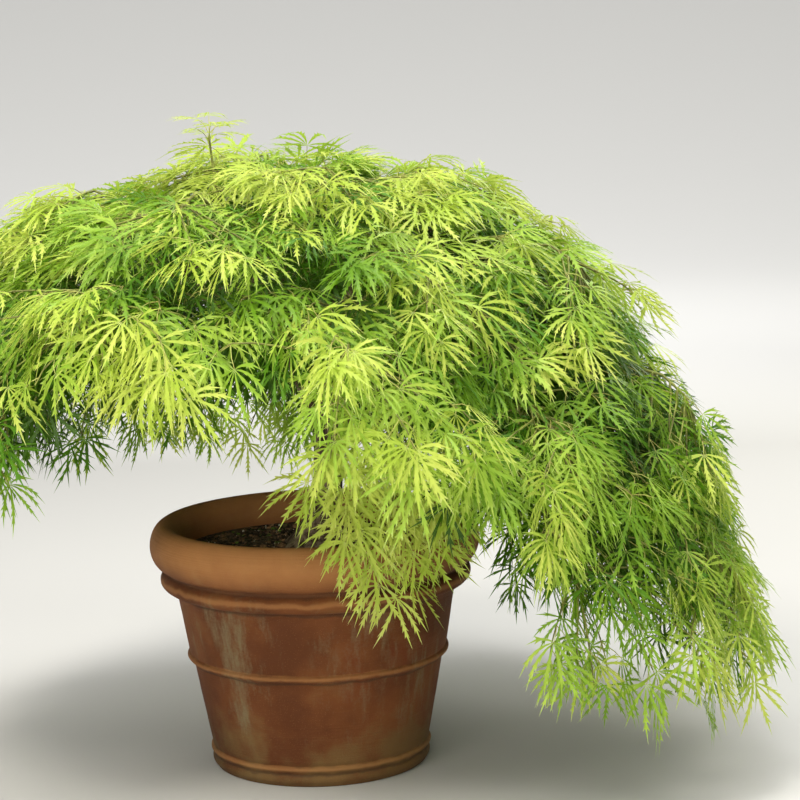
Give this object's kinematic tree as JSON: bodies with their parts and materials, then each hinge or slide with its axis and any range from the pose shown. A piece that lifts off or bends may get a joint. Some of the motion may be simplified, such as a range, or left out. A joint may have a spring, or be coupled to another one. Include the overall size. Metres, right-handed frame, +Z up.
{
  "type": "potted japanese maple",
  "caption": "Weeping dissected-leaf Japanese maple with a short trunk and arching boughs, its low dome of foliage hanging over one side of a round terracotta pot with a rolled rim.",
  "frame": {"origin": "Centre of the pot's flat underside, on the surface that the pot stands on.", "axes": "+Z up the pot and the trunk, +X to the right as seen from the front, towards the side where the foliage hangs lowest, -Y towards a viewer in front."},
  "size_m": [1.3314, 1.2881, 0.933],
  "materials": {
    "terracotta": "weathered matt unglazed clay",
    "soil": "coarse dark potting soil",
    "bark": "smooth to lightly furrowed bark",
    "foliage": "soft satin leaves"
  },
  "bodies": {
    "root": {"pot": "terracotta", "soil": "soil", "trunk": "bark", "bough_crown_1": "bark", "bough_crown_2": "bark", "bough_crown_3": "bark", "bough_shoulder_1": "bark", "bough_shoulder_2": "bark", "bough_shoulder_3": "bark", "bough_shoulder_4": "bark", "bough_shoulder_5": "bark", "bough_shoulder_6": "bark", "bough_shoulder_7": "bark", "bough_skirt_1": "bark", "bough_skirt_2": "bark", "bough_skirt_3": "bark", "bough_skirt_4": "bark", "bough_skirt_5": "bark", "bough_skirt_6": "bark", "bough_skirt_7": "bark", "bough_skirt_8": "bark", "bough_skirt_9": "bark", "bough_skirt_10": "bark", "bough_hem_1": "bark", "bough_hem_2": "bark", "bough_hem_3": "bark", "bough_hem_4": "bark", "bough_sprig": "bark", "bough_cascade": "bark", "foliage_crown_1": "foliage", "foliage_crown_2": "foliage", "foliage_crown_3": "foliage", "foliage_shoulder_1": "foliage", "foliage_shoulder_2": "foliage", "foliage_shoulder_3": "foliage", "foliage_shoulder_4": "foliage", "foliage_shoulder_5": "foliage", "foliage_shoulder_6": "foliage", "foliage_shoulder_7": "foliage", "foliage_skirt_1": "foliage", "foliage_skirt_2": "foliage", "foliage_skirt_3": "foliage", "foliage_skirt_4": "foliage", "foliage_skirt_5": "foliage", "foliage_skirt_6": "foliage", "foliage_skirt_7": "foliage", "foliage_skirt_8": "foliage", "foliage_skirt_9": "foliage", "foliage_skirt_10": "foliage", "foliage_hem_1": "foliage", "foliage_hem_2": "foliage", "foliage_hem_3": "foliage", "foliage_hem_4": "foliage", "foliage_sprig": "foliage", "foliage_cascade": "foliage"}
  },
  "joints": []
}
